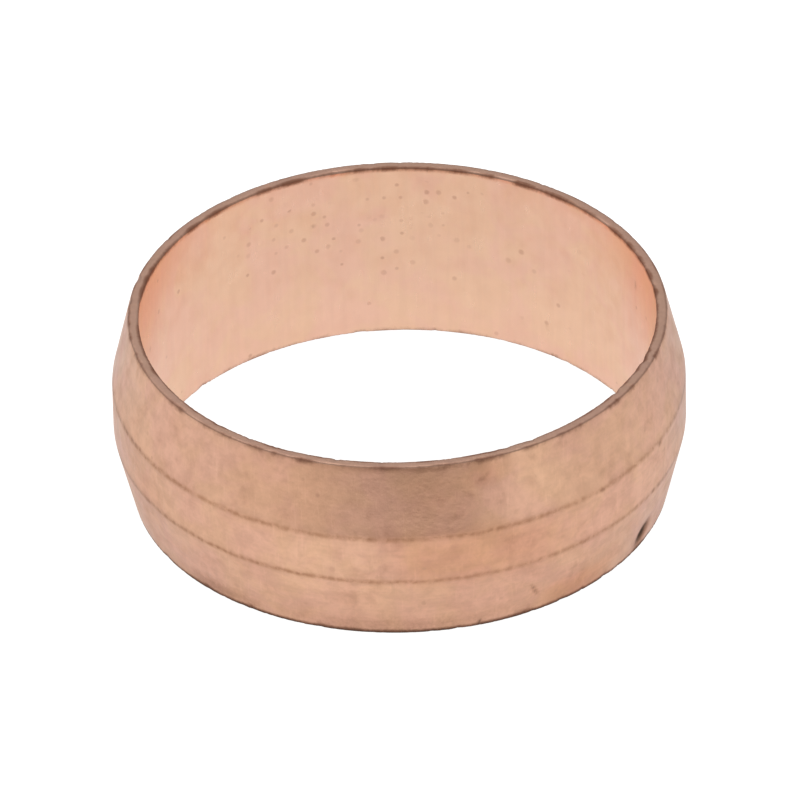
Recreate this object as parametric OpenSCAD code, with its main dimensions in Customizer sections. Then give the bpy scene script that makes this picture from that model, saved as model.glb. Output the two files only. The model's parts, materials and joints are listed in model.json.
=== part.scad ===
// Compression olive: the ring that a compression fitting's nut squeezes onto a
// copper pipe. It is one turned ring: a straight bore, a thick crown with a flat
// band around it, and a cone running down from each side of the band to a thin
// end face. Millimetres. The ring stands on one end face, with its axis on Z.

/* [Bore] */
// Outside diameter of the pipe that the ring slides onto
pipe_d = 22; // [10:0.5:54]
// Radial gap between the pipe and the bore
bore_clearance = 0.075; // [0.05:0.005:0.3]

/* [Ring] */
// Length along the pipe, from one end face to the other
length = 8.6; // [5:0.1:16]
// Wall thickness at the crown, the widest part of the ring
crown_wall = 1.25; // [0.8:0.05:2.5]
// Wall thickness at the end faces, before their edges are broken
end_wall = 0.48; // [0.3:0.02:0.7]
// Width of the flat band around the crown
band_w = 2.2; // [1:0.1:4]

/* [Edges and lines] */
// Size of the chamfer that breaks the two edges of each end face
edge_break = 0.08; // [0.02:0.01:0.12]
// Width of the turned line at each side of the crown band
line_w = 0.14; // [0.06:0.01:0.3]
// Depth of the turned lines
line_depth = 0.03; // [0.01:0.005:0.06]

/* [Hidden] */

bore_r = pipe_d / 2 + bore_clearance;
crown_r = bore_r + crown_wall;
end_r = bore_r + end_wall;

// Length of one cone, from its end face to the crown band
cone_len = (length - band_w) / 2;

// How far a cutter runs past the face that it cuts through
cut_past = 1;
$fn = 180;

// Radius of the lower cone at a height above the lower end face
function cone_r(z) = end_r + (crown_r - end_r) * z / cone_len;

// Outside of the ring's lower half, from the axis out and up to the crown band
function lower_outline() = [
    [0, 0],
    [end_r - edge_break, 0],
    [cone_r(edge_break), edge_break],
    [cone_r(cone_len - line_w / 2), cone_len - line_w / 2],
    [crown_r - line_depth, cone_len],
    [crown_r, cone_len + line_w / 2]
];

// The same points seen from the other end, in reverse order
function upper_outline() = [
    for (i = [len(lower_outline()) - 1 : -1 : 0])
        [lower_outline()[i][0], length - lower_outline()[i][1]]
];

// Solid blank with the two cones, the crown band and its turned lines
module turned_blank() {
    rotate_extrude()
        polygon(concat(lower_outline(), upper_outline()));
}

// Cutter that breaks the bore's edge at the lower end face
module mouth_cutter() {
    translate([0, 0, -cut_past])
        cylinder(h = cut_past + edge_break, r1 = bore_r + edge_break + cut_past, r2 = bore_r);
}

// The straight bore and its two broken edges
module bore_cutter() {
    translate([0, 0, -cut_past])
        cylinder(h = length + 2 * cut_past, r = bore_r);
    mouth_cutter();
    translate([0, 0, length])
        mirror([0, 0, 1])
            mouth_cutter();
}

module olive() {
    color("peru")
        difference() {
            turned_blank();
            bore_cutter();
        }
}

olive();
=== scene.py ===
"""A bare copper compression olive on a pale studio floor.

The ring is turned from one piece of soft copper: a straight bore, a flat band round the
crown and a cone down to a thin end face on each side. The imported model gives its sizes.
This script builds the worn, tumbled ring that stands for the plain one: ragged edges,
turned lines, pits, scuffs and a nick, all in the mesh, under a procedural copper finish.
"""

import json
import logging
import math
import random
from dataclasses import dataclass, field
from enum import Enum

import bmesh
import bpy
import numpy as np
from mathutils import Euler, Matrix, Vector

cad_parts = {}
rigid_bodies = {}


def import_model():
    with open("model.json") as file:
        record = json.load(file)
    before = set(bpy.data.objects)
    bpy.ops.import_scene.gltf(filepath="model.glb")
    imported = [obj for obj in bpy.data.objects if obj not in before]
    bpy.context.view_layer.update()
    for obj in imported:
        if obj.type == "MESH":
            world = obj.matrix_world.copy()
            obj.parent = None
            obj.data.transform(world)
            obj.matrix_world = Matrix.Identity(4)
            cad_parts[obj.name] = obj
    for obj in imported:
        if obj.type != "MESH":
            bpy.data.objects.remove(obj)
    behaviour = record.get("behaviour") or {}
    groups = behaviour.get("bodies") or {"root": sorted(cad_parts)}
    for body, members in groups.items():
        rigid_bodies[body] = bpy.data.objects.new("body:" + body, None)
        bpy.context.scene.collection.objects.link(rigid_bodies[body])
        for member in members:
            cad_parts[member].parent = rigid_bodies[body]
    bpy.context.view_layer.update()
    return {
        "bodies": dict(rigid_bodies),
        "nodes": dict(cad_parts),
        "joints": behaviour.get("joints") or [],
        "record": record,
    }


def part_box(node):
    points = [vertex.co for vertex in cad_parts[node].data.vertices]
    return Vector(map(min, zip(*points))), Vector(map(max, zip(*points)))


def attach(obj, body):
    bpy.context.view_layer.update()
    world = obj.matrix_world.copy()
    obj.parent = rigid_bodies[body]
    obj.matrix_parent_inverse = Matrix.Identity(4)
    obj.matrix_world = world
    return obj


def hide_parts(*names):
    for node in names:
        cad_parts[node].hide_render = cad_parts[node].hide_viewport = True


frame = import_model()

LOG = logging.getLogger("olive")

MM = 0.001
FULL_TURN = 2.0 * math.pi

Colour = tuple[float, float, float]
Socket = bpy.types.NodeSocket

WHITE: Colour = (1.0, 1.0, 1.0)


# ---- sizes


class Wall(Enum):
    """Which side of the ring's wall a mark is on."""

    BORE = "bore"
    OUTSIDE = "outside"


@dataclass(frozen=True)
class RingPlan:
    """Sizes of the ring, in metres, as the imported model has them."""

    bore_r: float
    end_r: float
    crown_r: float
    length: float
    cone_len: float

    @classmethod
    def from_frame(cls, packed: dict) -> "RingPlan":
        """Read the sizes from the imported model's box and mounts.

        The end face's mount is at the middle of its wall, and the cone's is halfway up it.


        Returns:
            The ring's sizes.
        """
        mounts = {mount["name"]: mount for mount in packed["record"]["mounts"]}
        low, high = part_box("olive")
        bore_r = mounts["pipe_bore"]["dims"]["r_mm"] * MM
        end_middle = mounts["upper_end_face"]["pos_m"][0]
        cone_middle = mounts["nut_seat_cone"]["pos_m"][2]
        length = high.z - low.z
        return cls(
            bore_r=bore_r,
            end_r=2.0 * end_middle - bore_r,
            crown_r=min(-low.x, high.x, -low.y, high.y),
            length=length,
            cone_len=2.0 * (length - cone_middle),
        )

    @property
    def lines(self) -> tuple[float, float]:
        """Heights of the two turned lines, at the band's lower and upper side."""
        return self.cone_len, self.length - self.cone_len

    def outside_r(self, height: np.ndarray) -> np.ndarray:
        """Radius of the outside at each height.

        Args:
            height: Heights above the lower end face.

        Returns:
            The cones' and the band's radius there.
        """
        from_end = np.minimum(height, self.length - height)
        share = np.clip(from_end / self.cone_len, 0.0, 1.0)
        return self.end_r + (self.crown_r - self.end_r) * share


@dataclass(frozen=True)
class Mark:
    """One pit, spot, nick or scratch on the ring, or a faint band of painted shade.

    Azimuth is in degrees from +X towards +Y, and height is a share of the ring's length.
    Around and along are the mark's half sizes and depth how far it goes into the metal, in
    millimetres. Stain is how dark it is, from 0 to 1. Lean is the rise along a slanted mark.
    """

    wall: Wall
    azimuth: float
    height: float
    around: float
    along: float
    depth: float
    stain: float
    lean: float = 0.0


@dataclass(frozen=True)
class Tarnish:
    """A broad soft patch where the outside is a little warmer, or paler below zero.

    Azimuth and half_turn are in degrees, and height and half_height are shares of the length.
    """

    azimuth: float
    height: float
    half_turn: float
    half_height: float
    warmth: float


# ---- wear on the ring


@dataclass
class Ripple:
    """A wavy line round the ring: a sum of whole waves, so it closes on itself.

    Waves are the counts round the ring, and falling how much weaker the finer ones are.
    """

    SMALLEST_WAVE = 0.3

    waves: range
    seed: int
    falling: float = 0.5
    _parts: list[tuple[int, float, float]] = field(default_factory=list, repr=False)

    def __post_init__(self) -> None:
        """Draw each wave's size and phase once."""
        draw = random.Random(self.seed)
        for count in self.waves:
            size = draw.uniform(self.SMALLEST_WAVE, 1.0) / count**self.falling
            self._parts.append((count, size, draw.uniform(0.0, FULL_TURN)))

    def at(self, azimuth: np.ndarray) -> np.ndarray:
        """Height of the line, about 1 at its usual peaks.

        Args:
            azimuth: Angles round the ring, in radians.

        Returns:
            One value for each angle.
        """
        angles, places = np.unique(np.round(azimuth, 5), return_inverse=True)
        total = np.zeros_like(angles)
        for count, size, phase in self._parts:
            total += size * np.cos(count * angles + phase)
        usual = math.sqrt(sum(size * size for _, size, _ in self._parts) / 2.0)
        return (total / (2.0 * usual))[places]


def turned_from(azimuth: np.ndarray, start: float) -> np.ndarray:
    """Each azimuth's turn from start, at most half a turn either way, in radians."""
    turn = azimuth - start
    return np.arctan2(np.sin(turn), np.cos(turn))


@dataclass
class Skin:
    """The ring's vertices as azimuth, radius and height, with stains and painted shade on them."""

    BORE_TOUCH = 0.004 * MM
    OUTSIDE_TOUCH = 0.016 * MM
    STAIN_FALL = 0.6

    plan: RingPlan
    azimuth: np.ndarray
    radius: np.ndarray
    height: np.ndarray

    def __post_init__(self) -> None:
        """Note which wall each vertex is on, and start with no stain."""
        outside_r = self.plan.outside_r(self.height)
        self.on_bore = self.radius < self.plan.bore_r + self.BORE_TOUCH
        self.on_outside = self.radius > outside_r - self.OUTSIDE_TOUCH
        self.on_end = ~self.on_bore & ~self.on_outside
        self.rest_r = self.radius.copy()
        self.rest_z = self.height.copy()
        self.oxide_and_shade = np.zeros_like(self.radius)
        self.speck_and_shade = np.zeros_like(self.radius)
        self.line = np.zeros_like(self.radius)
        self.tarnish = np.zeros_like(self.radius)

    @classmethod
    def of_mesh(cls, plan: RingPlan, bm: bmesh.types.BMesh) -> "Skin":
        """Read the vertices of a ring of that plan."""
        co = np.array([vert.co for vert in bm.verts])
        return cls(plan, np.arctan2(co[:, 1], co[:, 0]), np.hypot(co[:, 0], co[:, 1]), co[:, 2])

    def points(self) -> np.ndarray:
        """Every vertex's place as x, y and z."""
        return np.stack(
            [self.radius * np.cos(self.azimuth), self.radius * np.sin(self.azimuth), self.height],
            axis=1,
        )

    def wall_mask(self, wall: Wall) -> np.ndarray:
        """True for the vertices on that wall."""
        return self.on_bore if wall is Wall.BORE else self.on_outside

    def press(self, wall: Wall, amount: np.ndarray) -> None:
        """Push a wall into the metal, each of its vertices by its own amount."""
        inwards = 1.0 if wall is Wall.BORE else -1.0
        self.radius += np.where(self.wall_mask(wall), inwards * amount, 0.0)

    def stain(self, amount: np.ndarray) -> None:
        """Darken the metal where amount is more than what is there."""
        self.oxide_and_shade = np.maximum(self.oxide_and_shade, amount)

    def mark(self, spot: Mark) -> None:
        """Press one mark into its wall, and stain the metal there and a little past it.

        Args:
            spot: The mark.
        """
        wall_r = self.plan.bore_r if spot.wall is Wall.BORE else self.plan.crown_r
        sideways = wall_r * turned_from(self.azimuth, math.radians(spot.azimuth))
        upwards = self.rest_z - spot.height * self.plan.length - spot.lean * sideways
        reach = (sideways / (spot.around * MM)) ** 2 + (upwards / (spot.along * MM)) ** 2
        self.press(spot.wall, spot.depth * MM * np.exp(-reach))
        shade = spot.stain * np.exp(-self.STAIN_FALL * reach)
        self.speck_and_shade = np.maximum(self.speck_and_shade, np.where(self.wall_mask(spot.wall), shade, 0.0))

    def cloud(self, patch: Tarnish) -> None:
        """Add one soft patch of tarnish.

        Args:
            patch: The patch.
        """
        turn = turned_from(self.azimuth, math.radians(patch.azimuth))
        aside = np.degrees(turn) / patch.half_turn
        above = (self.rest_z / self.plan.length - patch.height) / patch.half_height
        self.tarnish += patch.warmth * np.exp(-(aside**4) - above**4)


@dataclass
class TurnedLine:
    """A fine line that a tool left where a cone meets the band.

    Dirty_side is the azimuth with most dirt, in degrees. Usual is the line's strength, and
    sided, patchy and crumbly how much it changes from side to side, slowly and finely. The
    lip is a share of the depth, lip_offset widths away.
    """

    height: float
    seed: int
    width: float = 0.085 * MM
    depth: float = 0.012 * MM
    stain_width: float = 0.135 * MM
    wander: float = 0.014 * MM
    dark: float = 0.74
    dirty_side: float = 225.0
    usual: float = 0.78
    sided: float = 0.14
    patchy: float = 0.17
    crumbly: float = 0.15
    weakest: float = 0.30
    strongest: float = 1.25
    lip: float = 0.10
    lip_offset: float = 2.0

    def cut(self, skin: Skin) -> None:
        """Cut the line, raise a lip beside it and let it darken.

        Args:
            skin: The ring's skin.
        """
        drift = self.wander * Ripple(range(3, 60), self.seed, 0.3).at(skin.azimuth)
        slow = Ripple(range(2, 24), self.seed + 1, 0.3).at(skin.azimuth)
        fine = Ripple(range(90, 240), self.seed + 2, 0.0).at(skin.azimuth)
        dirtier = self.sided * np.cos(skin.azimuth - math.radians(self.dirty_side))
        strength = self.usual + dirtier + self.patchy * slow + self.crumbly * fine
        strength = np.clip(strength, self.weakest, self.strongest)
        off_line = skin.rest_z - self.height - drift
        offset = off_line / self.width
        groove = np.exp(-(offset**2))
        lip = self.lip * np.exp(-((np.abs(offset) - self.lip_offset) ** 2))
        skin.press(Wall.OUTSIDE, self.depth * strength * (groove - lip))
        shade = self.dark * strength * np.exp(-((off_line / self.stain_width) ** 2))
        skin.line = np.maximum(skin.line, np.where(skin.on_outside, shade, 0.0))


@dataclass
class RaggedEdge:
    """One edge of an end face, with the burrs and chips of a tumbled part.

    Out_r and out_z point away from the metal. Reach is how far the roughness goes, and
    stain_reach how far the dark goes. Front_dark is how much darker the edge is at the front,
    the next share how much of the dark takes the soot colour and not the oxide colour, and
    patchy how uneven the dark is. On the lower outer edge this dark is partly dirt and partly
    painted shade where the ring meets the floor. Worn is how far the whole edge has gone back.
    """

    CHIP_WIDTHS = (0.07 * MM, 0.24 * MM)
    SMALLEST_CHIP = 0.15
    CHIP_STAIN = 0.25
    NARROWEST = 0.5
    WIDEST = 2.0

    radius: float
    height: float
    out_r: float
    out_z: float
    seed: int
    dark: float
    stain_reach: float
    reach: float = 0.11 * MM
    front_dark: float = 0.0
    soot_and_shade_share: float = 0.0
    patchy: float = 0.10
    rough: float = 0.010 * MM
    chip: float = 0.032 * MM
    chips: int = 60
    worn: float = 0.002 * MM

    def wear(self, skin: Skin) -> None:
        """Roughen the edge, chip it here and there, and darken it.

        Args:
            skin: The ring's skin.
        """
        away = np.hypot(skin.rest_r - self.radius, skin.rest_z - self.height)
        fine = Ripple(range(70, 360), self.seed, 0.0).at(skin.azimuth)
        slow = Ripple(range(8, 60), self.seed + 1, 0.3).at(skin.azimuth)
        bites = self._bites(skin)
        push = self.rough * (0.7 * fine + 0.5 * slow)
        push = np.minimum(push - self.chip * bites, 0.0) - self.worn
        near = np.exp(-((away / self.reach) ** 2))
        skin.radius += near * push * self.out_r
        skin.height += near * push * self.out_z
        # darker at the front: on the lower outer edge, painted shade where the ring meets the floor,
        # over dirt
        front = -np.sin(skin.azimuth)
        shade = self.dark + self.front_dark * front + self.CHIP_STAIN * bites
        shade += self.patchy * (1.3 * slow + 0.3 * fine)
        widening = np.clip(1.0 + 0.26 * slow + 0.4 * bites, self.NARROWEST, self.WIDEST)
        spread = self.stain_reach * widening
        shade = np.clip(shade, 0.0, 1.0) * np.exp(-((away / spread) ** 4))
        skin.stain(shade)
        # the share of the dark that takes the soot colour: dirt, and on the lower outer edge painted
        # shade too
        skin.speck_and_shade = np.maximum(skin.speck_and_shade, self.soot_and_shade_share * shade)

    def _bites(self, skin: Skin) -> np.ndarray:
        """Scatter the edge's chips.

        Args:
            skin: The ring's skin.

        Returns:
            How much of a chip there is at each vertex's azimuth.
        """
        bites = np.zeros_like(skin.azimuth)
        draw = random.Random(self.seed + 2)
        for _ in range(self.chips):
            sideways = self.radius * turned_from(skin.azimuth, draw.uniform(0.0, FULL_TURN))
            width = draw.uniform(*self.CHIP_WIDTHS)
            bites += draw.uniform(self.SMALLEST_CHIP, 1.0) ** 2 * np.exp(-((sideways / width) ** 2))
        return bites


# ---- the finish


class NodeSheet:
    """A node tree and its named noises, with short calls to add nodes and join them."""

    def __init__(self, tree: bpy.types.NodeTree) -> None:
        """Keep the tree and clear it.

        Args:
            tree: The tree to fill.
        """
        self.tree = tree
        self.noises: dict[str, Socket] = {}
        tree.nodes.clear()

    @classmethod
    def of_material(cls, name: str) -> tuple[bpy.types.Material, "NodeSheet"]:
        """Start a new material.

        Args:
            name: Its name.

        Returns:
            The material and its empty sheet.
        """
        material = bpy.data.materials.new(name)
        material.use_nodes = True
        return material, cls(material.node_tree)

    def close(self, shader: Socket, output: str = "OutputMaterial") -> None:
        """Join the finished shader to the output."""
        self.feed(self.add(output).inputs["Surface"], shader)

    def add(self, kind: str, **settings: object) -> bpy.types.Node:
        """Add a node.

        Args:
            kind: The node's type name, without its ShaderNode prefix.
            settings: Attributes to set on it.

        Returns:
            The node.
        """
        node = self.tree.nodes.new("ShaderNode" + kind)
        for name, value in settings.items():
            setattr(node, name, value)
        return node

    def feed(self, socket: Socket, source: object) -> None:
        """Join a socket to another, or set its value."""
        if isinstance(source, Socket):
            self.tree.links.new(source, socket)
        else:
            socket.default_value = source

    def run(self, kind: str, *inputs: object, **settings: object) -> Socket:
        """Add a node and feed its sockets in order.

        Args:
            kind: The node's type name, without its ShaderNode prefix.
            inputs: Sockets or values.
            settings: Attributes to set on it.

        Returns:
            Its first result.
        """
        node = self.add(kind, **settings)
        for socket, source in zip(node.inputs, inputs):
            self.feed(socket, source)
        return node.outputs[0]

    def maths(self, operation: str, *inputs: object) -> Socket:
        """Work out a number by a Math node."""
        return self.run("Math", *inputs, operation=operation)

    def parts(self, vector: Socket, kind: str = "SeparateXYZ") -> list[Socket]:
        """Split a vector, or a colour, into its three parts."""
        node = self.add(kind)
        self.feed(node.inputs[0], vector)
        return list(node.outputs)

    def remap(self, source: object, low: float, high: float, to_low: float = 0.0,
              to_high: float = 1.0) -> Socket:
        """Stretch a value from low and high to to_low and to_high, smoothly and clamped."""
        return self.run("MapRange", source, low, high, to_low, to_high,
                        interpolation_type="SMOOTHSTEP")

    def blend(self, share: object, first: object, second: object) -> Socket:
        """Mix two colours.

        Args:
            share: How much of the second.
            first: A colour or a socket.
            second: A colour or a socket.

        Returns:
            The mixed colour.
        """
        node = self.add("Mix", data_type="RGBA", clamp_factor=True)
        self.feed(node.inputs["Factor"], share)
        for name, colour in (("A", first), ("B", second)):
            socket = next(s for s in node.inputs if s.name == name and s.type == "RGBA")
            self.feed(socket, (*colour, 1.0) if isinstance(colour, tuple) else colour)
        return next(s for s in node.outputs if s.type == "RGBA")

    def scaled(self, vector: Socket, factor: object) -> Socket:
        """Multiply a vector or a colour by a number."""
        node = self.add("VectorMath", operation="SCALE")
        self.feed(node.inputs[0], vector)
        self.feed(node.inputs["Scale"], factor)
        return node.outputs[0]

    def noise(self, where: Socket, scale: float, detail: float, rough: float,
              warp: float = 0.0) -> Socket:
        """Add a noise texture.

        Args:
            where: Its coordinates.
            scale: Features in each unit of those.
            detail: Octaves.
            rough: Strength of the finer octaves.
            warp: Distortion.

        Returns:
            Its value, from 0 to 1.
        """
        node = self.add("TexNoise")
        self.feed(node.inputs["Vector"], where)
        for name, value in (("Scale", scale), ("Detail", detail), ("Roughness", rough),
                            ("Distortion", warp)):
            node.inputs[name].default_value = value
        return node.outputs[0]

    def attribute(self, name: str) -> Socket:
        """Read one of the mesh's own values."""
        return self.add("Attribute", attribute_name=name).outputs["Fac"]


@dataclass(frozen=True)
class Tone:
    """A noise's range, and the range of shares or of roughness that it becomes."""

    noise: str
    low: float
    high: float
    to_low: float
    to_high: float

    def on(self, sheet: NodeSheet) -> Socket:
        """Stretch the sheet's noise of that name."""
        noise = sheet.noises[self.noise]
        return sheet.remap(noise, self.low, self.high, self.to_low, self.to_high)


@dataclass(frozen=True)
class PitPattern:
    """Small round pits, at most one in each cell of a pattern unrolled from the wall.

    The wall's radius is in millimetres, the pits' radii are in cells, and rim is where a
    pit starts and is full, in its own radii. Shades are shares of the pits' colour.
    """

    wall_r: float = 11.0
    cells_per_mm: float = 1.60
    least_r: float = 0.11
    extra_r: float = 0.12
    rim: tuple[float, float] = (1.35, 0.45)
    least_shade: float = 0.12
    extra_shade: float = 0.40

    def share(self, sheet: NodeSheet, in_mm: Socket) -> Socket:
        """Scatter the pits where the mesh is pitted.

        Args:
            sheet: The material's nodes.
            in_mm: The place in millimetres.

        Returns:
            How much of the pits' colour shows.
        """
        x, y, z = sheet.parts(in_mm)
        unrolled = sheet.maths("MULTIPLY", sheet.maths("ARCTAN2", x, y), self.wall_r)
        cells = sheet.add("TexVoronoi", voronoi_dimensions="2D")
        sheet.feed(cells.inputs["Vector"], sheet.run("CombineXYZ", unrolled, z))
        cells.inputs["Scale"].default_value = self.cells_per_mm
        chosen, size, shade = sheet.parts(cells.outputs["Color"], "SeparateColor")
        radius = sheet.maths("MULTIPLY_ADD", size, self.extra_r, self.least_r)
        from_middle = sheet.maths("DIVIDE", cells.outputs["Distance"], radius)
        dot = sheet.remap(from_middle, *self.rim)
        shown = sheet.maths("LESS_THAN", chosen, sheet.attribute("pitted"))
        strength = sheet.maths("MULTIPLY_ADD", shade, self.extra_shade, self.least_shade)
        return sheet.maths("MULTIPLY", sheet.maths("MULTIPLY", dot, shown), strength)


@dataclass(frozen=True)
class CopperFinish:
    """Bare tumbled copper: satin and cloudy outside, smoother and rosier in the bore.

    NOISES has each noise's scale in features a millimetre, octaves, strength of the finer
    octaves and warp. STREAKS has each streaky noise's features a millimetre round the ring
    and along it, and octaves. STAINS has each stain's first and last value, and how broken
    it is.
    """

    NOISES = {
        "clouds": (0.40, 4.0, 0.58, 0.6),
        "smears": (0.70, 5.0, 0.62, 0.3),
        "mottle": (1.5, 3.0, 0.56, 0.4),
        "grain": (6.5, 3.0, 0.6),
        "peened": (5.0, 2.0, 0.55),
        "broken": (6.0, 3.0, 0.65),
        "crumbs": (3.4, 3.0, 0.60),
    }
    STREAKS = (("lathe", 0.16, 5.0, 3.0), ("drawn", 3.0, 0.22, 2.0))
    STAINS = {"oxide_and_shade": (0.06, 0.98, 0.50), "speck_and_shade": (0.10, 0.90, 0.30)}
    PATCHES = Tone("clouds", 0.38, 0.62, 0.0, 1.0)
    BLOTCHES = Tone("smears", 0.54, 0.80, 0.0, 0.50)
    CRUMBS = Tone("crumbs", 0.36, 0.62, 0.50, 1.10)
    OUTSIDE_TONES = (
        Tone("mottle", 0.30, 0.70, 0.940, 1.055),
        Tone("rubs", 0.0, 1.0, 1.0, 1.03),
        Tone("lathe", 0.30, 0.70, 0.975, 1.015),
        Tone("grain", 0.30, 0.70, 0.980, 1.016),
    )
    BORE_TONES = (
        Tone("mottle", 0.30, 0.70, 0.99, 1.01),
        Tone("drawn", 0.35, 0.65, 0.985, 1.008),
    )
    ROUGH_TONES = (
        Tone("smears", 0.35, 0.75, -0.03, 0.08),
        Tone("mottle", 0.3, 0.7, 0.03, -0.03),
    )

    name: str = "tumbled_copper"
    rose: Colour = (0.784, 0.452, 0.322)
    sand: Colour = (0.786, 0.467, 0.308)
    brown: Colour = (0.600, 0.335, 0.228)
    bore_rose: Colour = (0.965, 0.616, 0.467)
    bore_gold: Colour = (0.965, 0.641, 0.452)
    warm_tint: Colour = (0.900, 0.780, 0.680)
    pale_tint: Colour = (1.140, 1.190, 1.150)
    sawn: Colour = (0.400, 0.248, 0.192)
    line: Colour = (0.420, 0.205, 0.112)
    # dark colours of oxide, rust and soot; they also colour the painted shade along the lower front
    oxide_and_shade: Colour = (0.270, 0.125, 0.078)
    rust_and_shade: Colour = (0.360, 0.140, 0.070)
    soot_and_shade: Colour = (0.082, 0.066, 0.054)
    dull_edge: Colour = (0.42, 0.39, 0.37)
    edge_tint: Colour = (0.80, 0.86, 0.92)
    end_share: float = 0.75
    oxide_and_shade_share: float = 0.92
    dirt_and_shade_share: float = 0.95
    roughness: float = 0.40
    bore_roughness: float = 0.34
    relief: float = 0.008 * MM
    pits: PitPattern = PitPattern()

    def make(self) -> bpy.types.Material:
        """Build the material.

        Returns:
            The material.
        """
        material, sheet = NodeSheet.of_material(self.name)
        in_mm = sheet.scaled(sheet.add("TexCoord").outputs["Object"], 1.0 / MM)
        self._add_noises(sheet, in_mm)
        bore = sheet.attribute("bore")
        marks = self._stain_shares(sheet)
        # specks and dirt go from rust to soot colours, and so does the painted shade along the lower
        # front
        dirt_and_shade = sheet.blend(marks["speck_and_shade"], self.rust_and_shade, self.soot_and_shade)
        colour = self._colour(sheet, bore)
        for share, stain in (
            (sheet.maths("MULTIPLY", sheet.attribute("end_face"), self.end_share), self.sawn),
            (self.pits.share(sheet, in_mm), self.brown),
            (marks["line"], self.line),
            (sheet.maths("MULTIPLY", marks["oxide_and_shade"], self.oxide_and_shade_share), self.oxide_and_shade),
            (sheet.maths("MULTIPLY", marks["speck_and_shade"], self.dirt_and_shade_share), dirt_and_shade),
        ):
            colour = sheet.blend(share, colour, stain)
        shader = sheet.add("BsdfPrincipled")
        sheet.feed(shader.inputs["Base Color"], colour)
        shader.inputs["Metallic"].default_value = 1.0
        edge = sheet.blend(bore, self.edge_tint, WHITE)
        edge = sheet.blend(marks["speck_and_shade"], edge, self.dull_edge)
        sheet.feed(shader.inputs["Specular Tint"], edge)
        sheet.feed(shader.inputs["Roughness"], self._roughness(sheet, bore, marks["oxide_and_shade"]))
        sheet.feed(shader.inputs["Normal"], self._relief(sheet, bore))
        sheet.close(shader.outputs[0])
        return material

    def _add_noises(self, sheet: NodeSheet, in_mm: Socket) -> None:
        """Add every noise of the finish to its sheet.

        Args:
            sheet: The material's nodes.
            in_mm: The place in millimetres.
        """
        for name, look in self.NOISES.items():
            sheet.noises[name] = sheet.noise(in_mm, *look)
        for name, round_scale, axis_scale, octaves in self.STREAKS:
            stretched = self._stretched(sheet, in_mm, round_scale, axis_scale)
            sheet.noises[name] = sheet.noise(stretched, 1.0, octaves, 0.6)
        sheet.noises["rubs"] = self._rubs(sheet, in_mm)

    @staticmethod
    def _stretched(sheet: NodeSheet, in_mm: Socket, round_scale: float,
                   axis_scale: float) -> Socket:
        """Coordinates for marks that run round the ring or along its axis.

        Args:
            sheet: The material's nodes.
            in_mm: The place in millimetres.
            round_scale: Features in a millimetre round the ring.
            axis_scale: Features in a millimetre along the axis, or across an end face.

        Returns:
            The stretched coordinates.
        """
        x, y, z = sheet.parts(in_mm)
        squares = sheet.maths("ADD", sheet.maths("MULTIPLY", x, x), sheet.maths("MULTIPLY", y, y))
        across = sheet.maths("ADD", z, sheet.maths("SQRT", squares))
        sizes = ((x, round_scale), (y, round_scale), (across, axis_scale))
        return sheet.run("CombineXYZ", *(sheet.maths("MULTIPLY", *pair) for pair in sizes))

    @staticmethod
    def _rubs(sheet: NodeSheet, in_mm: Socket) -> Socket:
        """Fine bright rubs in three directions, from the parts that it was tumbled with.

        Args:
            sheet: The material's nodes.
            in_mm: The place in millimetres.

        Returns:
            1 on a rub and 0 elsewhere.
        """
        total: object = 0.0
        for number, tilt in enumerate((25.0, 80.0, 140.0)):
            place = (7.0 * number, 3.0, 11.0)
            turn = (math.radians(tilt), 0.4, math.radians(tilt))
            slender = sheet.run("Mapping", in_mm, place, turn, (7.0, 0.7, 0.7))
            fibres = sheet.noise(slender, 1.0, 2.0, 0.5)
            total = sheet.maths("ADD", total, sheet.remap(fibres, 0.63, 0.74))
        return sheet.maths("MINIMUM", total, 1.0)

    def _colour(self, sheet: NodeSheet, bore: Socket) -> Socket:
        """Colour of the clean metal, outside and in the bore.

        Args:
            sheet: The material's nodes.
            bore: 1 in the bore.

        Returns:
            The colour.
        """
        patches = self.PATCHES.on(sheet)
        tarnish = sheet.attribute("tarnish")
        paler = sheet.maths("MULTIPLY", tarnish, -1.0)
        outside = sheet.blend(patches, self.rose, self.sand)
        outside = sheet.blend(self.BLOTCHES.on(sheet), outside, self.brown)
        outside = self._washed(sheet, outside, tarnish, self.warm_tint)
        outside = self._washed(sheet, outside, paler, self.pale_tint)
        inside = sheet.blend(patches, self.bore_rose, self.bore_gold)
        for tone in self.OUTSIDE_TONES:
            outside = sheet.scaled(outside, tone.on(sheet))
        for tone in self.BORE_TONES:
            inside = sheet.scaled(inside, tone.on(sheet))
        return sheet.blend(bore, outside, inside)

    @staticmethod
    def _washed(sheet: NodeSheet, colour: Socket, share: Socket, wash: Colour) -> Socket:
        """Lay a wash over the metal, where share is above zero, by multiplying its colour."""
        product = sheet.run("VectorMath", colour, wash, operation="MULTIPLY")
        return sheet.blend(share, colour, product)

    def _stain_shares(self, sheet: NodeSheet) -> dict[str, Socket]:
        """How much of each dark stain shows, with broken edges.

        Args:
            sheet: The material's nodes.

        Returns:
            The shares of oxide, of specks and of line dirt. The oxide and speck shares also
            hold painted shade along the lower front.
        """
        broken = sheet.maths("SUBTRACT", sheet.noises["broken"], 0.5)
        shares = {}
        for name, (low, high, breaking) in self.STAINS.items():
            soft = sheet.maths("MULTIPLY_ADD", broken, breaking, sheet.attribute(name))
            shares[name] = sheet.remap(soft, low, high)
        crumbs = self.CRUMBS.on(sheet)
        shares["line"] = sheet.maths("MULTIPLY", sheet.attribute("line"), crumbs)
        return shares

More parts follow.
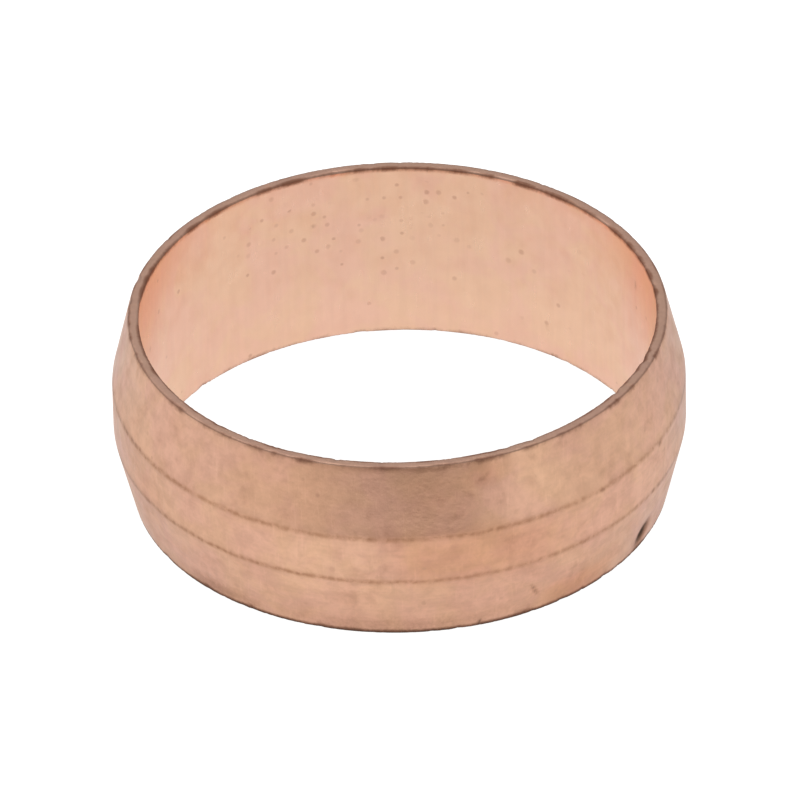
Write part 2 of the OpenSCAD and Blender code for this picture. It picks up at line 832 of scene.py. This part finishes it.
    def _roughness(self, sheet: NodeSheet, bore: Socket, oxide_and_shade: Socket) -> Socket:
        """Roughness, higher where the metal is smeared or oxidised.

        Args:
            sheet: The material's nodes.
            bore: 1 in the bore.
            oxide_and_shade: Share of oxide.

        Returns:
            The roughness.
        """
        gap = self.bore_roughness - self.roughness
        base = sheet.maths("MULTIPLY_ADD", bore, gap, self.roughness)
        for tone in self.ROUGH_TONES:
            base = sheet.maths("ADD", base, tone.on(sheet))
        base = sheet.maths("MULTIPLY_ADD", sheet.noises["rubs"], -0.05, base)
        return sheet.maths("MULTIPLY_ADD", oxide_and_shade, 0.15, base)

    def _relief(self, sheet: NodeSheet, bore: Socket) -> Socket:
        """Fine relief: peened grain from tumbling, over faint lathe marks.

        Args:
            sheet: The material's nodes.
            bore: 1 in the bore.

        Returns:
            The bent normal.
        """
        peened = sheet.maths("ADD", sheet.noises["peened"], sheet.noises["mottle"])
        quieter = sheet.maths("MULTIPLY_ADD", bore, -0.75, 1.0)
        height = sheet.maths("MULTIPLY_ADD", sheet.noises["lathe"], 0.30, peened)
        height = sheet.maths("MULTIPLY", height, quieter)
        height = sheet.maths("MULTIPLY_ADD", sheet.noises["smears"], 0.8, height)
        height = sheet.maths("MULTIPLY_ADD", sheet.noises["rubs"], -0.12, height)
        bump = sheet.add("Bump")
        bump.inputs["Strength"].default_value = 1.0
        bump.inputs["Distance"].default_value = self.relief
        sheet.feed(bump.inputs["Height"], height)
        return bump.outputs[0]


@dataclass(frozen=True)
class FloorFinish:
    """A plain pale light table: white acrylic that glows softly from below.

    The camera sees a little more of the glow than the metal does, so the table shows white.
    Its glow is dimmed inside the ring and out on the right, as painted shade.
    """

    name: str = "pale_light_table"
    colour: Colour = (0.35, 0.35, 0.35)
    roughness: float = 0.9
    glow: float = 0.66
    shown_glow: float = 0.30
    # painted shade: shares of the glow left inside the ring and out on the right
    painted_shade_in_ring: float = 0.86
    painted_shade_on_right: float = 0.86
    under_span: tuple[float, float] = (4.5 * MM, 9.5 * MM)
    right_span: tuple[float, float] = (12.0 * MM, 26.0 * MM)

    def make(self) -> bpy.types.Material:
        """Build the material.

        Returns:
            The material.
        """
        material, sheet = NodeSheet.of_material(self.name)
        shader = sheet.add("BsdfPrincipled")
        shader.inputs["Base Color"].default_value = (*self.colour, 1.0)
        shader.inputs["Roughness"].default_value = self.roughness
        shader.inputs["Emission Color"].default_value = (*WHITE, 1.0)
        camera = sheet.add("LightPath").outputs["Is Camera Ray"]
        glow = self._glow_with_painted_shade(sheet)
        sheet.feed(shader.inputs["Emission Strength"],
                   sheet.maths("MULTIPLY_ADD", camera, self.shown_glow, glow))
        sheet.close(shader.outputs[0])
        return material

    def _glow_with_painted_shade(self, sheet: NodeSheet) -> Socket:
        """The table's glow, with painted shade: weaker under the ring's middle and out on the right.

        Args:
            sheet: The material's nodes.

        Returns:
            The glow.
        """
        place = sheet.add("TexCoord").outputs["Object"]
        from_axis = sheet.add("VectorMath", operation="LENGTH")
        sheet.feed(from_axis.inputs[0], place)
        # painted shade: the glow dims inside the ring here, and out on the right on the next line
        middle = sheet.remap(from_axis.outputs["Value"], *self.under_span, self.painted_shade_in_ring, 1.0)
        right = sheet.remap(sheet.parts(place)[0], *self.right_span, 1.0, self.painted_shade_on_right)
        return sheet.maths("MULTIPLY", sheet.maths("MULTIPLY", middle, right), self.glow)


def add_object(name: str, bm: bmesh.types.BMesh, material: bpy.types.Material) -> bpy.types.Object:
    """Make an object of a finished mesh, and free the mesh.

    Args:
        name: The object's name.
        bm: The mesh.
        material: Its material.

    Returns:
        The object.
    """
    mesh = bpy.data.meshes.new(name)
    bm.to_mesh(mesh)
    bm.free()
    mesh.materials.append(material)
    made = bpy.data.objects.new(name, mesh)
    bpy.context.scene.collection.objects.link(made)
    return made


# ---- the ring


@dataclass
class OliveRing:
    """The worn ring: its turned section, its mesh, its marks and its finish.

    Pitted_bore is the share of pitted cells in the clean bore and what its worst patch adds,
    and the patch fields place that patch, in degrees and in shares of the length.
    """

    NEAR_PLANE = 1e-9
    NEAR_END = 1e-6

    plan: RingPlan
    finish: CopperFinish = field(default_factory=CopperFinish)
    spin_steps: int = 250
    cuts: int = 2
    edge_break: float = 0.08 * MM
    edge_steps: int = 4
    plain_step: float = 0.21 * MM
    line_step: float = 0.037 * MM
    line_zone: float = 0.22 * MM
    end_step: float = 0.054 * MM
    sway: float = 0.004 * MM
    sway_base: float = 1.5
    scuffs: int = 150
    scuff_seed: int = 47
    bore_fade: float = 0.10 * MM
    pitted_outside: float = 0.06
    pitted_bore: tuple[float, float] = (0.05, 0.75)
    patch_azimuth: float = 100.0
    patch_half_turn: float = 25.0
    patch_height: float = 0.70
    patch_half_height: float = 0.24

    def build(self) -> bpy.types.Object:
        """Turn the ring, wear it and dress it.

        Returns:
            The finished piece.
        """
        bm = bmesh.new()
        self._draw_section(bm)
        self._turn(bm)
        self._refine(bm)
        skin = Skin.of_mesh(self.plan, bm)
        self._wear(skin)
        for vert, place in zip(bm.verts, skin.points()):
            vert.co = place
        bmesh.ops.recalc_face_normals(bm, faces=bm.faces)
        piece = add_object("olive_ring", bm, self.finish.make())
        piece.data.shade_smooth()
        self._paint(piece.data, skin)
        return piece

    def _draw_section(self, bm: bmesh.types.BMesh) -> None:
        """Draw the wall's section in the XZ plane, with its broken edges.

        Args:
            bm: The empty mesh.
        """
        plan = self.plan
        low_line, high_line = plan.lines
        corners = (
            (plan.bore_r, 0.0), (plan.end_r, 0.0), (plan.crown_r, low_line),
            (plan.crown_r, high_line), (plan.end_r, plan.length), (plan.bore_r, plan.length),
        )
        verts = [bm.verts.new((radius, 0.0, height)) for radius, height in corners]
        bm.faces.new(verts)
        ends = [vert for vert in verts if vert.co.z in (0.0, verts[-1].co.z)]
        bmesh.ops.bevel(bm, geom=ends, offset=self.edge_break, affect="VERTICES",
                        segments=self.edge_steps, profile=0.5, material=-1)
        bmesh.ops.delete(bm, geom=list(bm.faces), context="FACES_ONLY")
        for line in plan.lines:
            for side in (-1.0, 1.0):
                height = line + side * self.line_zone
                bmesh.ops.bisect_plane(bm, geom=[*bm.verts, *bm.edges], dist=self.NEAR_PLANE,
                                       plane_co=(0.0, 0.0, height), plane_no=(0.0, 0.0, 1.0))
        self._split_edges(bm)

    def _split_edges(self, bm: bmesh.types.BMesh) -> None:
        """Divide each edge of the section, finely where detail is cut later.

        Args:
            bm: The section.
        """
        plan = self.plan
        for edge in list(bm.edges):
            length = edge.calc_length()
            middle = (edge.verts[0].co + edge.verts[1].co) / 2.0
            to_line = min(abs(middle.z - line) for line in plan.lines)
            on_end = min(middle.z, plan.length - middle.z) < self.NEAR_END
            step = self.plain_step
            if on_end:
                step = self.end_step
            elif to_line < self.line_zone and middle.x > plan.end_r:
                step = self.line_step
            cuts = max(0, round(length / step) - 1)
            if cuts:
                bmesh.ops.subdivide_edges(bm, edges=[edge], cuts=cuts)

    def _turn(self, bm: bmesh.types.BMesh) -> None:
        """Spin the section a full turn round the bore's axis."""
        bmesh.ops.spin(bm, geom=[*bm.verts, *bm.edges], cent=(0.0, 0.0, 0.0),
                       axis=(0.0, 0.0, 1.0), dvec=(0.0, 0.0, 0.0), angle=FULL_TURN,
                       steps=self.spin_steps, use_merge=True, use_duplicate=False)

    def _refine(self, bm: bmesh.types.BMesh) -> None:
        """Divide each spun step again, and put the new points back on their circles.

        Args:
            bm: The spun ring.
        """
        step = FULL_TURN / self.spin_steps
        rings = [edge for edge in bm.edges if self._runs_round(edge, step)]
        bmesh.ops.subdivide_edges(bm, edges=rings, cuts=self.cuts, use_grid_fill=True)
        for vert in bm.verts:
            turn = math.atan2(vert.co.y, vert.co.x) % step
            grow = math.cos(turn - step / 2.0) / math.cos(step / 2.0)
            vert.co.x *= grow
            vert.co.y *= grow

    @staticmethod
    def _runs_round(edge: bmesh.types.BMEdge, step: float) -> bool:
        """True for an edge that runs round the ring for one spun step."""
        first, second = (math.atan2(vert.co.y, vert.co.x) for vert in edge.verts)
        return abs(math.sin(first - second)) > 0.5 * math.sin(step)

    def _wear(self, skin: Skin) -> None:
        """Add everything that use and tumbling left on the ring.

        Args:
            skin: The ring's skin.
        """
        self._sway(skin)
        for number, height in enumerate(self.plan.lines):
            TurnedLine(height, seed=11 + 5 * number).cut(skin)
        for edge in self._edges():
            edge.wear(skin)
        for spot in [*self._known_marks(), *self._scuffs()]:
            skin.mark(spot)
        for patch in self._tarnishes():
            skin.cloud(patch)
        skin.height = np.clip(skin.height, 0.0, self.plan.length)
        skin.radius = np.minimum(skin.radius, self.plan.crown_r)

    def _sway(self, skin: Skin) -> None:
        """Let the outside run a few microns out of true.

        Args:
            skin: The ring's skin.
        """
        share = skin.height / self.plan.length
        low = Ripple(range(2, 16), seed=71).at(skin.azimuth)
        high = Ripple(range(2, 16), seed=72).at(skin.azimuth)
        out_of_true = self.sway_base + low * (1.0 - share) + high * share
        skin.press(Wall.OUTSIDE, self.sway * out_of_true)

    def _edges(self) -> list[RaggedEdge]:
        """The edges of each end face; the lower outer one has dirt and painted shade at the front.
        """
        plan = self.plan
        bore, rim = plan.bore_r, plan.end_r
        return [
            RaggedEdge(bore, 0.0, -1.0, -1.0, 100, dark=0.42, stain_reach=0.13 * MM),
            # dirt and painted shade: this edge is darker and sootier at the front, where it meets
            # the floor
            RaggedEdge(rim, 0.0, 1.0, -1.0, 110, dark=0.75, stain_reach=0.24 * MM, front_dark=0.30,
                       soot_and_shade_share=0.70),
            RaggedEdge(bore, plan.length, -1.0, 1.0, 120, dark=0.66, stain_reach=0.145 * MM,
                       patchy=0.28),
            RaggedEdge(rim, plan.length, 1.0, 1.0, 130, dark=0.38, stain_reach=0.105 * MM,
                       patchy=0.22, front_dark=0.06),
        ]

    @staticmethod
    def _known_marks() -> list[Mark]:
        """The marks that give this ring its own look, each as a Mark's values in order."""
        outside = (
            (331, 0.095, 0.52, 0.48, 0.11, 0.88, 0.32),
            # the next two broad faint rows darken the lower edge at the front and front-left:
            # painted shade where the ring meets the floor
            (228, 0.06, 2.50, 0.52, 0.002, 0.43),
            (269, 0.06, 5.80, 0.54, 0.002, 0.38),
            (298, 0.16, 0.28, 0.20, 0.010, 0.58, -1.3),
            (288, 0.48, 0.13, 0.10, 0.006, 0.34),
            (334, 0.61, 0.16, 0.13, 0.012, 0.58),
            (314, 0.62, 0.17, 0.12, 0.012, 0.56),
            (331, 0.37, 0.14, 0.13, 0.010, 0.48),
            (309, 0.37, 0.14, 0.12, 0.008, 0.46),
            (286, 0.03, 0.12, 0.20, 0.030, 0.65),
            (241, 0.22, 0.13, 0.11, 0.006, 0.38),
            (287, 0.90, 0.36, 0.15, 0.004, 0.46, 0.4),
            (284, 0.83, 0.30, 0.17, 0.004, 0.43, -0.4),
            (278, 0.82, 0.26, 0.20, 0.004, 0.40),
            (281, 0.73, 0.44, 0.20, 0.004, 0.40, 0.3),
            (330, 0.75, 0.22, 0.25, 0.004, 0.34),
            (235, 0.93, 0.25, 0.18, 0.004, 0.34),
        )
        bore = (
            (105, 0.83, 0.12, 0.12, 0.008, 0.30),
            (109, 0.70, 0.14, 0.14, 0.008, 0.36),
            (96, 0.70, 0.12, 0.12, 0.008, 0.26),
            (86.5, 0.64, 0.14, 0.12, 0.008, 0.35),
            (83, 0.71, 0.30, 0.09, 0.008, 0.28, 0.5),
            (78, 0.46, 0.12, 0.12, 0.008, 0.28),
            (54, 0.17, 0.12, 0.20, 0.010, 0.34),
            (22, 0.80, 0.14, 0.24, 0.012, 0.40),
            (45, 0.59, 1.35, 0.05, 0.006, 0.24, -0.26),
        )
        walls = ((Wall.OUTSIDE, outside), (Wall.BORE, bore))
        return [Mark(wall, *values) for wall, rows in walls for values in rows]

    @staticmethod
    def _tarnishes() -> list[Tarnish]:
        """The broad patches where the outside has its own tone."""
        return [
            Tarnish(256, 0.40, 12, 0.20, -0.55),
            Tarnish(284, 0.51, 20, 0.16, 0.62),
            Tarnish(291, 0.93, 7, 0.07, 0.50),
            Tarnish(298, 0.82, 7, 0.20, -0.50),
            Tarnish(245, 0.82, 12, 0.24, 0.20),
            Tarnish(331, 0.55, 9, 0.30, -0.40),
            Tarnish(309, 0.07, 9, 0.09, 0.80),
            Tarnish(205, 0.35, 8, 0.30, 0.30),
            Tarnish(278, 0.84, 8, 0.14, 0.25),
            Tarnish(60, 0.30, 20, 0.20, 0.30),
            Tarnish(120, 0.70, 16, 0.18, -0.35),
            Tarnish(160, 0.40, 14, 0.22, 0.25),
        ]

    def _scuffs(self) -> list[Mark]:
        """Shallow dents that tumbling left all over the outside."""
        draw = random.Random(self.scuff_seed)
        dents = []
        for _ in range(self.scuffs):
            size = draw.uniform(0.12, 0.45)
            dents.append(Mark(
                Wall.OUTSIDE,
                azimuth=draw.uniform(0, 360),
                height=draw.uniform(0.03, 0.97),
                around=size,
                along=size * draw.uniform(0.4, 1.0),
                depth=draw.uniform(0.002, 0.006),
                stain=draw.uniform(0.0, 0.40) ** 2,
                lean=draw.uniform(-0.5, 0.5),
            ))
        return dents

    def _paint(self, mesh: bpy.types.Mesh, skin: Skin) -> None:
        """Store on the mesh how much of the bore, pits, end face and each stain it has.

        Args:
            mesh: The ring's mesh.
            skin: The ring's skin.
        """
        past_edge = (skin.rest_r - self.plan.bore_r) / self.bore_fade
        aside = (np.degrees(skin.azimuth) - self.patch_azimuth) / self.patch_half_turn
        above = (skin.rest_z / self.plan.length - self.patch_height) / self.patch_half_height
        clean, worst = self.pitted_bore
        patch = np.exp(-(aside**2) - above**2)
        layers = {
            "bore": np.clip(1.0 - past_edge, 0.0, 1.0),
            "pitted": np.where(skin.on_bore, clean + worst * patch, self.pitted_outside),
            "end_face": skin.on_end.astype(float),
            "oxide_and_shade": skin.oxide_and_shade,
            "speck_and_shade": skin.speck_and_shade,
            "line": skin.line,
            "tarnish": skin.tarnish,
        }
        for name, values in layers.items():
            layer = mesh.attributes.new(name, "FLOAT", "POINT")
            layer.data.foreach_set("value", values.astype(np.float32))


# ---- the studio


@dataclass(frozen=True)
class Softbox:
    """One big square white light that the camera doesn't see.

    Side and distance are in metres, azimuth and elevation in degrees, and power in watts.
    """

    name: str = "key_softbox"
    side: float = 0.50
    azimuth: float = 110.0
    elevation: float = 62.0
    distance: float = 0.70
    power: float = 0.8

    def hang(self, aim: Vector) -> None:
        """Hang the light and turn it to face a point.

        Args:
            aim: The point.
        """
        light = bpy.data.lights.new(self.name, "AREA")
        light.shape = "SQUARE"
        light.size = self.side
        light.energy = self.power
        holder = bpy.data.objects.new(self.name, light)
        turn, rise = math.radians(self.azimuth), math.radians(self.elevation)
        out = Vector((math.cos(turn) * math.cos(rise), math.sin(turn) * math.cos(rise),
                      math.sin(rise)))
        holder.location = aim + self.distance * out
        holder.rotation_euler = (-out).to_track_quat("-Z", "Y").to_euler()
        holder.visible_camera = False
        bpy.context.scene.collection.objects.link(holder)


@dataclass(frozen=True)
class GreyCard:
    """An upright card in front, seen only as a reflection in the metal.

    Shades are places across the card, from 0 at its left to 1, and how light it is there.
    """

    width: float = 0.125
    height: float = 0.034
    ahead: float = 0.056
    aside: float = 0.0175
    shades: tuple[tuple[float, float], ...] = ((0.0, 0.75), (0.34, 0.22), (0.605, 0.18), (0.63, 1.0))
    warm: Colour = (1.0, 0.70, 0.58)

    def stand(self) -> None:
        """Make the card and stand it on the floor, facing the ring."""
        bm = bmesh.new()
        bmesh.ops.create_grid(bm, x_segments=1, y_segments=1, size=0.5)
        bmesh.ops.scale(bm, vec=(self.width, self.height, 1.0), verts=bm.verts)
        bmesh.ops.rotate(bm, matrix=Euler((math.pi / 2.0, 0.0, 0.0)).to_matrix(), verts=bm.verts)
        bmesh.ops.translate(bm, vec=(self.aside, -self.ahead, self.height / 2.0), verts=bm.verts)
        card = add_object("grey_card", bm, self._paper())
        card.visible_camera = False
        card.visible_diffuse = False
        card.visible_shadow = False

    def _paper(self) -> bpy.types.Material:
        """Make the card's paper.

        Returns:
            A warm grey, graded across the card, that doesn't depend on the other lights.
        """
        material, sheet = NodeSheet.of_material("card_paper")
        sideways = sheet.parts(sheet.add("TexCoord").outputs["Object"])[0]
        from_middle = sheet.maths("SUBTRACT", sideways, self.aside)
        across = sheet.maths("DIVIDE", from_middle, self.width)
        ramp = sheet.add("ValToRGB")
        sheet.feed(ramp.inputs[0], sheet.maths("ADD", across, 0.5))
        stops = ramp.color_ramp.elements
        while len(stops) < len(self.shades):
            stops.new(1.0)
        for stop, (place, shade) in zip(stops, self.shades):
            stop.position = place
            stop.color = (*(shade * (part + (1.0 - part) * shade) for part in self.warm), 1.0)
        sheet.close(sheet.run("Emission", ramp.outputs[0]))
        return material


@dataclass
class Studio:
    """The floor, the soft light and the camera.

    Reach is the camera's distance in crown radii. Crown_share is the crown's radius as a
    share of the picture's width, and aim_aside and aim_up move the aim, in crown radii.
    The room is darker by front_dark where a direction points past both dark spans.
    """

    NEAR_CLIP = 0.05
    FAR_CLIP = 20.0

    plan: RingPlan
    floor_half: float = 3.0
    elevation: float = 34.9
    roll: float = -1.24
    reach: float = 50.0
    crown_share: float = 0.3585
    aim_aside: float = 0.0021
    aim_up: float = -0.0182
    sensor: float = 36.0
    room_light: float = 0.62
    front_dark: float = 0.35
    dark_ahead: tuple[float, float] = (-0.62, -0.95)
    dark_up: tuple[float, float] = (0.60, 0.15)
    softbox: Softbox = Softbox()
    floor: FloorFinish = field(default_factory=FloorFinish)
    card: GreyCard = field(default_factory=GreyCard)

    def build(self) -> None:
        """Set up everything round the ring."""
        self._lay_floor()
        self._light_room()
        self.softbox.hang(Vector((0.0, 0.0, self.plan.length / 2.0)))
        self.card.stand()
        self._mount_camera()
        view = bpy.context.scene.view_settings
        view.view_transform = "Standard"
        view.look = "None"

    def _lay_floor(self) -> None:
        """Lay the floor just under the ring."""
        bm = bmesh.new()
        bmesh.ops.create_grid(bm, x_segments=1, y_segments=1, size=self.floor_half)
        floor = add_object("floor", bm, self.floor.make())

    def _light_room(self) -> None:
        """Fill the room with soft light, darker in front near the horizon."""
        world = bpy.data.worlds.new("studio")
        bpy.context.scene.world = world
        world.use_nodes = True
        sheet = NodeSheet(world.node_tree)
        _, ahead, up = sheet.parts(sheet.add("TexCoord").outputs["Generated"])
        dark = sheet.maths("MULTIPLY", sheet.remap(ahead, *self.dark_ahead),
                           sheet.remap(up, *self.dark_up))
        strength = sheet.maths("MULTIPLY_ADD", dark, -self.front_dark, self.room_light)
        room = sheet.run("Background", (*WHITE, 1.0), strength)
        backdrop = sheet.run("Background", (*WHITE, 1.0))
        seen = sheet.add("LightPath").outputs["Is Camera Ray"]
        sheet.close(sheet.run("MixShader", seen, room, backdrop), "OutputWorld")

    def _mount_camera(self) -> None:
        """Set the camera at its angle, far back, with the long lens that the ring's size needs."""
        rise = math.radians(self.elevation)
        distance = self.reach * self.plan.crown_r
        back = Vector((0.0, -math.cos(rise), math.sin(rise)))
        data = bpy.data.cameras.new("camera")
        data.sensor_width = self.sensor
        data.lens = self.sensor * self.crown_share * self.reach
        data.clip_start = distance * self.NEAR_CLIP
        data.clip_end = distance * self.FAR_CLIP
        camera = bpy.data.objects.new("camera", data)
        lifted = Vector((0.0, math.sin(rise), math.cos(rise)))
        aside = Vector((1.0, 0.0, 0.0))
        centre = Vector((0.0, 0.0, self.plan.length / 2.0))
        shift = aside * self.aim_aside + lifted * self.aim_up
        aim = centre + self.plan.crown_r * shift
        camera.location = aim + distance * back
        turn = Euler((math.pi / 2.0 - rise, 0.0, 0.0)).to_matrix()
        tilt = Euler((0.0, 0.0, math.radians(self.roll))).to_matrix()
        camera.rotation_euler = (turn @ tilt).to_euler()
        bpy.context.scene.collection.objects.link(camera)
        bpy.context.scene.camera = camera


def main() -> None:
    """Build the ring and the studio, and report each piece."""
    logging.basicConfig(level=logging.INFO, format="%(name)s: %(message)s")
    plan = RingPlan.from_frame(frame)
    LOG.info("plan %s", plan)
    ring = OliveRing(plan).build()
    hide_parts("olive")
    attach(ring, "root")
    LOG.info("%s has %d vertices and %d faces", ring.name, len(ring.data.vertices),
             len(ring.data.polygons))
    Studio(plan).build()
    LOG.info("studio is ready")


if __name__ == "__main__":
    main()
